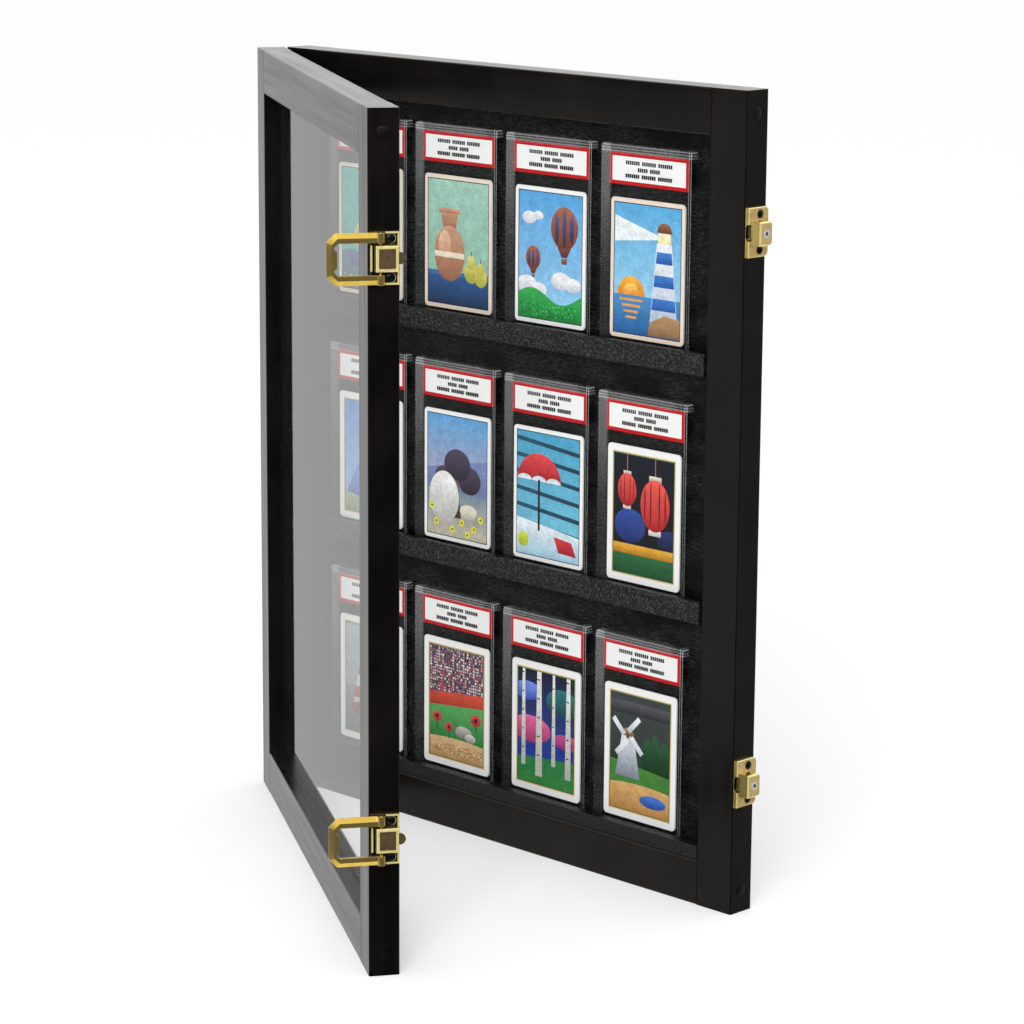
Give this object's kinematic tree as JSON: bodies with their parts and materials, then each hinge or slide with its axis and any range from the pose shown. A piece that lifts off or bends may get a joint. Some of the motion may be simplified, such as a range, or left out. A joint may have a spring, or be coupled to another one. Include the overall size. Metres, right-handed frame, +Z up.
{
  "type": "trading card display case",
  "caption": "Wall display cabinet for graded trading cards: shallow black frame with shelves of clear card holders, a glazed door hinged on the left, and brass loop latches over locks.",
  "frame": {"origin": "middle of the cabinet's underside", "axes": "+Z up, +Y towards the wall, the cabinet faces -Y, the door hangs on the -X side"},
  "size_m": [0.4684, 0.3033, 0.556],
  "materials": {
    "frame_wood": "semi-gloss black lacquer",
    "shelf_wood": "black lacquer over open grain",
    "panel_board": "gloss black, rippled grain",
    "brass": "bright plated",
    "plug_steel": "plated",
    "black_screw": "black oxide",
    "steel": "plain",
    "pane_acrylic": "clear sheet",
    "holder_plastic": "clear moulded",
    "card": "printed, coated",
    "label": "printed"
  },
  "bodies": {
    "cabinet": {"back_panel": "panel_board", "back_panel_screws": "steel", "bottom_ledge": "shelf_wood", "cabinet_frame_screws": "steel", "cabinet_hinge_leaf_lower": "brass", "cabinet_hinge_leaf_upper": "brass", "cabinet_hinge_screws": "brass", "cabinet_rail_bottom": "frame_wood", "cabinet_rail_top": "frame_wood", "cabinet_screw_plugs": "frame_wood", "cabinet_stile_left": "frame_wood", "cabinet_stile_right": "frame_wood", "card_holder_row_1_column_1": "holder_plastic", "card_holder_row_1_column_2": "holder_plastic", "card_holder_row_1_column_3": "holder_plastic", "card_holder_row_1_column_4": "holder_plastic", "card_holder_row_2_column_1": "holder_plastic", "card_holder_row_2_column_2": "holder_plastic", "card_holder_row_2_column_3": "holder_plastic", "card_holder_row_2_column_4": "holder_plastic", "card_holder_row_3_column_1": "holder_plastic", "card_holder_row_3_column_2": "holder_plastic", "card_holder_row_3_column_3": "holder_plastic", "card_holder_row_3_column_4": "holder_plastic", "card_labels": "label", "cards": "card", "hinge_pin_lower": "brass", "hinge_pin_upper": "brass", "ledge_brads": "steel", "lock_case_lower": "brass", "lock_case_upper": "brass", "lock_screws": "black_screw", "shelf_1": "shelf_wood", "shelf_2": "shelf_wood", "shelf_screws": "steel"},
    "door": {"bead_pins": "steel", "door_frame_screws": "steel", "door_hinge_leaf_lower": "brass", "door_hinge_leaf_upper": "brass", "door_hinge_screws": "brass", "door_pane": "pane_acrylic", "door_rail_bottom": "frame_wood", "door_rail_top": "frame_wood", "door_screw_plugs": "frame_wood", "door_stile_hinge": "frame_wood", "door_stile_latch": "frame_wood", "glazing_bead_bottom": "frame_wood", "glazing_bead_hinge": "frame_wood", "glazing_bead_latch": "frame_wood", "glazing_bead_top": "frame_wood", "latch_base_lower": "brass", "latch_base_upper": "brass", "latch_pins": "brass", "latch_screws": "black_screw"},
    "latch_loop_upper": {"latch_loop_upper": "brass"},
    "latch_loop_lower": {"latch_loop_lower": "brass"},
    "lock_plug_upper": {"lock_plug_upper": "plug_steel"},
    "lock_plug_lower": {"lock_plug_lower": "plug_steel"}
  },
  "joints": [
    {"name": "door_hinge", "type": "hinge", "parent": "cabinet", "child": "door", "pos_m": [-0.2253, -0.0107, 0.278], "axis": [0, 0, -1], "range_deg": [-32.5, 142.5]},
    {"name": "latch_loop_upper_hinge", "type": "hinge", "parent": "door", "child": "latch_loop_upper", "pos_m": [0.1495, -0.26483, 0.464], "axis": [0, 0, 1], "range_deg": [0, 180]},
    {"name": "lock_plug_upper_turn", "type": "hinge", "parent": "cabinet", "child": "lock_plug_upper", "pos_m": [0.2347, -0.0026, 0.464], "axis": [1, 0, 0], "range_deg": [0, 90]},
    {"name": "latch_loop_lower_hinge", "type": "hinge", "parent": "door", "child": "latch_loop_lower", "pos_m": [0.1495, -0.26483, 0.092], "axis": [0, 0, 1], "range_deg": [0, 180]},
    {"name": "lock_plug_lower_turn", "type": "hinge", "parent": "cabinet", "child": "lock_plug_lower", "pos_m": [0.2347, -0.0026, 0.092], "axis": [1, 0, 0], "range_deg": [0, 90]}
  ]
}
